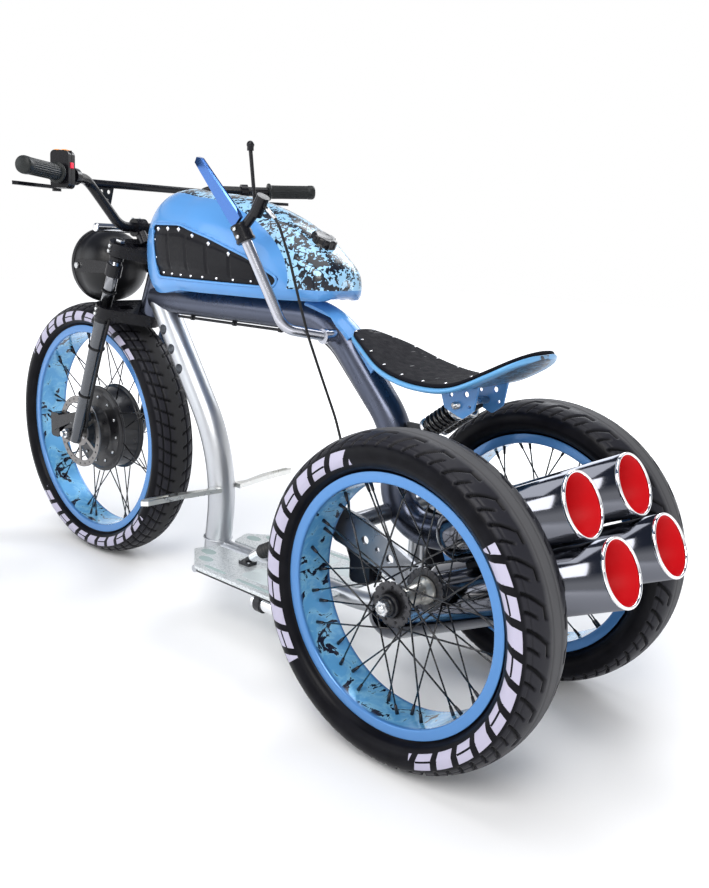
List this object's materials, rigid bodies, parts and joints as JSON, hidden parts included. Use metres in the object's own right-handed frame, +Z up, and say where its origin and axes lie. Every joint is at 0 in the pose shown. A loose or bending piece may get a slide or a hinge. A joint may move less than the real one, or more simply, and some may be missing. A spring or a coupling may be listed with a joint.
{
  "type": "motorized trike",
  "caption": "Three-wheeled motorized cycle with a bent tube frame, long tank, curved seat, hub motor in the front wheel, steering fork and rear exhaust cans.",
  "frame": {"origin": "on the ground under the middle of the bounding box", "axes": "+Z up, -Y forward (front wheel), +X the rider's left; rows of wheels turn about X"},
  "size_m": [0.7824, 1.7951, 0.9709],
  "materials": {
    "tyre": "matte",
    "blue_rim": "gloss",
    "spoke_black": "gloss",
    "hub_black": "satin",
    "hub_grey": "satin",
    "steel": "brushed",
    "frame_grey": "satin metallic",
    "black_paint": "satin",
    "dark_chrome": "polished dark",
    "red_paint": "satin",
    "blue_paint": "gloss",
    "dark_blue_paint": "gloss",
    "black_leather": "fine grain",
    "board_metal": "speckled",
    "aluminium": "brushed",
    "chrome": "polished",
    "black_rubber": "matte",
    "black_plastic": "matte",
    "lens_glass": "clear"
  },
  "bodies": {
    "frame": {"head_tube": "frame_grey", "backbone_tube": "frame_grey", "down_tube": "frame_grey", "lower_rail": "frame_grey", "axle_carrier": "frame_grey", "exhaust_cans": "dark_chrome", "can_liners": "red_paint", "can_plate": "black_paint", "tank": "blue_paint", "tank_panels": "black_leather", "tank_cap": "black_paint", "tank_saddle": "blue_paint", "seat_pan": "blue_paint", "seat_pad": "black_leather", "seat_hinge": "dark_blue_paint", "seat_bracket": "blue_paint", "seat_shocks": "black_paint", "seat_springs": "black_paint", "footboards": "board_metal", "foot_pegs": "aluminium", "pedal_strut": "aluminium", "canister": "chrome", "canister_straps": "black_paint", "rear_caliper": "black_paint", "hand_lever": "frame_grey", "lever_clamp": "black_paint", "lever_blade": "chrome", "brake_cable": "black_rubber", "wiring": "black_rubber"},
    "steering": {"fork_yoke": "black_paint", "fork_legs": "frame_grey", "front_axle": "steel", "front_caliper": "black_paint", "handlebar": "black_paint", "bar_clamps": "black_paint", "grips": "black_rubber", "switch_pod": "black_plastic", "lever_perches": "black_paint", "brake_levers": "aluminium", "headlight": "black_paint", "headlight_lens": "lens_glass", "lamp_arms": "black_paint", "lamp_bar": "chrome", "fork_hoses": "black_rubber"},
    "front_wheel": {"front_tyre": "tyre", "front_rim": "blue_rim", "front_spokes": "spoke_black", "front_hub": "hub_black", "front_disc": "steel"},
    "rear_wheel_left": {"rear_left_tyre": "tyre", "rear_left_rim": "blue_rim", "rear_left_spokes": "spoke_black", "rear_left_hub": "hub_grey"},
    "rear_wheel_right": {"rear_right_tyre": "tyre", "rear_right_rim": "blue_rim", "rear_right_spokes": "spoke_black", "rear_right_hub": "hub_grey"}
  },
  "joints": [
    {"name": "steer", "type": "hinge", "parent": "frame", "child": "steering", "pos_m": [0, -0.34454, 0.69012], "axis": [0, 0.3939, 0.9191], "range_deg": [-30, 30]},
    {"name": "front_wheel_spin", "type": "hinge", "parent": "steering", "child": "front_wheel", "pos_m": [0, -0.57759, 0.32], "axis": [1, 0, 0], "continuous": true},
    {"name": "rear_left_spin", "type": "hinge", "parent": "frame", "child": "rear_wheel_left", "pos_m": [0.2125, 0.58041, 0.271], "axis": [1, 0, 0], "continuous": true},
    {"name": "rear_right_spin", "type": "hinge", "parent": "frame", "child": "rear_wheel_right", "pos_m": [-0.2125, 0.58041, 0.271], "axis": [1, 0, 0], "continuous": true}
  ]
}
